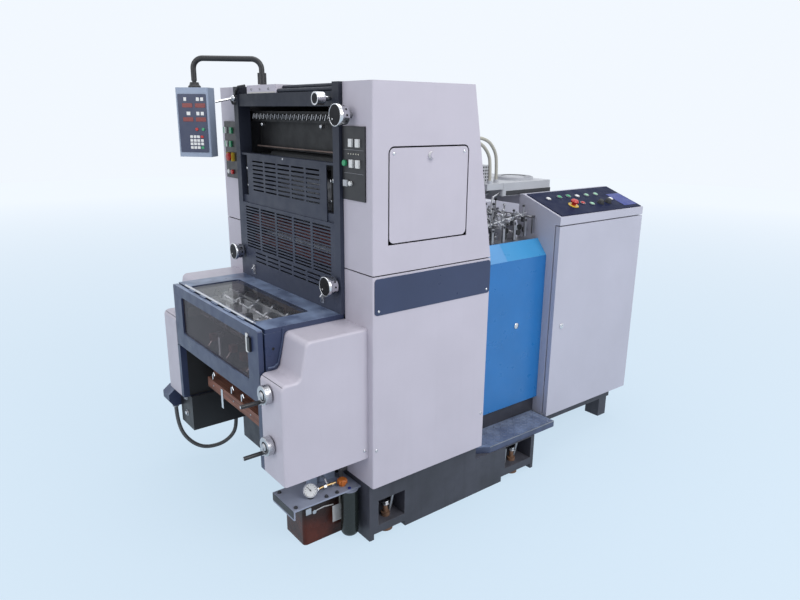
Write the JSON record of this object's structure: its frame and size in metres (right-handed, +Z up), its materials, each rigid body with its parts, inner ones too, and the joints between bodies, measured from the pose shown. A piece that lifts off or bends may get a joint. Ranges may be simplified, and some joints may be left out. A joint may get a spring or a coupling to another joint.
{
  "type": "offset printing press",
  "caption": "Sheet-fed offset printing press with slotted guards, windowed delivery with crank handles, swing console, feedboard and feeder control cabinet.",
  "frame": {"origin": "on the floor under the middle of the base", "axes": "+X towards the feeder, -Y the operator side, +Z up"},
  "size_m": [2.064, 1.118, 1.7105],
  "materials": {
    "base_paint": "dark charcoal paint",
    "jack_steel": "rusted steel",
    "step_plate": "worn navy tread plate",
    "cover_grey": "satin pale grey paint",
    "frame_iron": "painted casting",
    "band_navy": "satin navy paint",
    "guard_navy": "satin navy paint",
    "roller_steel": "ground steel",
    "roller_rubber": "matt rubber",
    "switch_black": "black plate",
    "dial_chrome": "turned and polished",
    "arm_black": "black tube",
    "console_grey": "pale grey housing",
    "console_face": "dark navy face",
    "underframe_black": "matt black",
    "window_clear": "clear plastic",
    "hinge_chrome": "polished",
    "rod_steel": "bright steel",
    "board_wood": "worn board",
    "crank_steel": "bright casting",
    "handle_black": "black grip",
    "box_navy": "satin navy paint",
    "hose_grey": "ribbed grey hose",
    "tank_plastic": "translucent red brown plastic",
    "shelf_steel": "worn plate",
    "fitting_plastic": "white and orange fittings",
    "cover_blue": "satin blue paint",
    "feed_steel": "steel sheet",
    "cabinet_grey": "satin pale grey paint",
    "panel_black": "black control panel",
    "head_grey": "grey paint",
    "air_hose": "beige hose"
  },
  "bodies": {
    "press": {"base_bed": "base_paint", "levelling_jacks": "jack_steel", "footstep": "step_plate", "feeder_base": "base_paint", "side_frames": "frame_iron", "upper_cover_operator": "cover_grey", "lower_cover_operator": "cover_grey", "drive_covers": "cover_grey", "band_plate": "band_navy", "guard_frame": "guard_navy", "upper_guard": "guard_navy", "lower_guard": "guard_navy", "printing_cylinders": "roller_steel", "ink_rollers": "roller_rubber", "ink_key_bar": "roller_steel", "top_cover": "guard_navy", "rear_guard": "cover_grey", "switch_plates": "switch_black", "guard_levers": "dial_chrome", "spindles": "rod_steel", "arm_bracket": "console_grey", "delivery_cover_operator": "cover_grey", "delivery_cover_drive": "cover_grey", "delivery_plates": "guard_navy", "delivery_underframe": "underframe_black", "delivery_top_frame": "guard_navy", "delivery_top_window": "window_clear", "delivery_hinge": "hinge_chrome", "delivery_rods": "rod_steel", "conduit_box": "box_navy", "conduit_hose": "hose_grey", "fluid_tank": "tank_plastic", "tank_shelf": "shelf_steel", "shelf_fittings": "fitting_plastic", "feedboard_covers": "cover_blue", "feed_board": "feed_steel", "feed_shafts": "rod_steel", "cabinet_shell": "cabinet_grey", "control_panel": "panel_black", "feeder_housing": "cabinet_grey", "feeder_head": "head_grey", "feeder_pile_board": "board_wood", "air_hose_near": "air_hose", "air_hose_far": "air_hose"},
    "hatch": {"hatch": "cover_grey"},
    "front_cover": {"front_cover": "guard_navy", "front_cover_window": "window_clear"},
    "pile_board": {"delivery_pile_board": "board_wood"},
    "crank_upper": {"crank_upper": "crank_steel", "crank_upper_handle": "handle_black"},
    "crank_lower": {"crank_lower": "crank_steel", "crank_lower_handle": "handle_black"},
    "dial_upper": {"dial_upper": "dial_chrome"},
    "dial_lower": {"dial_lower": "dial_chrome"},
    "dial_drive": {"dial_drive": "dial_chrome"},
    "arm": {"console_arm": "arm_black"},
    "console": {"console_box": "console_grey", "console_face": "console_face"},
    "cabinet_door": {"cabinet_door": "cabinet_grey"}
  },
  "joints": [
    {"name": "hatch_hinge", "type": "hinge", "parent": "press", "child": "hatch", "pos_m": [-0.215, -0.544, 1.108], "axis": [1, 0, 0], "range_deg": [0, 90]},
    {"name": "front_cover_hinge", "type": "hinge", "parent": "press", "child": "front_cover", "pos_m": [-0.749, 0, 0.84], "axis": [0, 1, 0], "range_deg": [0, 95]},
    {"name": "pile_lift", "type": "slide", "parent": "press", "child": "pile_board", "axis": [0, 0, 1], "range_m": [-0.02, 0.14]},
    {"name": "crank_upper_turn", "type": "hinge", "parent": "press", "child": "crank_upper", "pos_m": [-0.788, -0.44, 0.643], "axis": [1, 0, 0], "continuous": true},
    {"name": "crank_lower_turn", "type": "hinge", "parent": "press", "child": "crank_lower", "pos_m": [-0.788, -0.44, 0.463], "axis": [1, 0, 0], "continuous": true},
    {"name": "dial_upper_turn", "type": "hinge", "parent": "press", "child": "dial_upper", "pos_m": [-0.488, -0.437, 1.498], "axis": [1, 0, 0], "continuous": true},
    {"name": "dial_lower_turn", "type": "hinge", "parent": "press", "child": "dial_lower", "pos_m": [-0.488, -0.356, 0.936], "axis": [1, 0, 0], "continuous": true},
    {"name": "dial_drive_turn", "type": "hinge", "parent": "press", "child": "dial_drive", "pos_m": [-0.488, 0.372, 0.936], "axis": [1, 0, 0], "continuous": true},
    {"name": "arm_swing", "type": "hinge", "parent": "press", "child": "arm", "pos_m": [-0.407, 0.238, 1.62], "axis": [0, 0, 1], "range_deg": [0, 75]},
    {"name": "console_swivel", "type": "hinge", "parent": "arm", "child": "console", "pos_m": [-0.621, 0.385, 1.602], "axis": [0, 0, 1], "range_deg": [-45, 45]},
    {"name": "cabinet_door_hinge", "type": "hinge", "parent": "press", "child": "cabinet_door", "pos_m": [1.195, -0.436, 0.615], "axis": [0, 0, 1], "range_deg": [0, 90]}
  ]
}
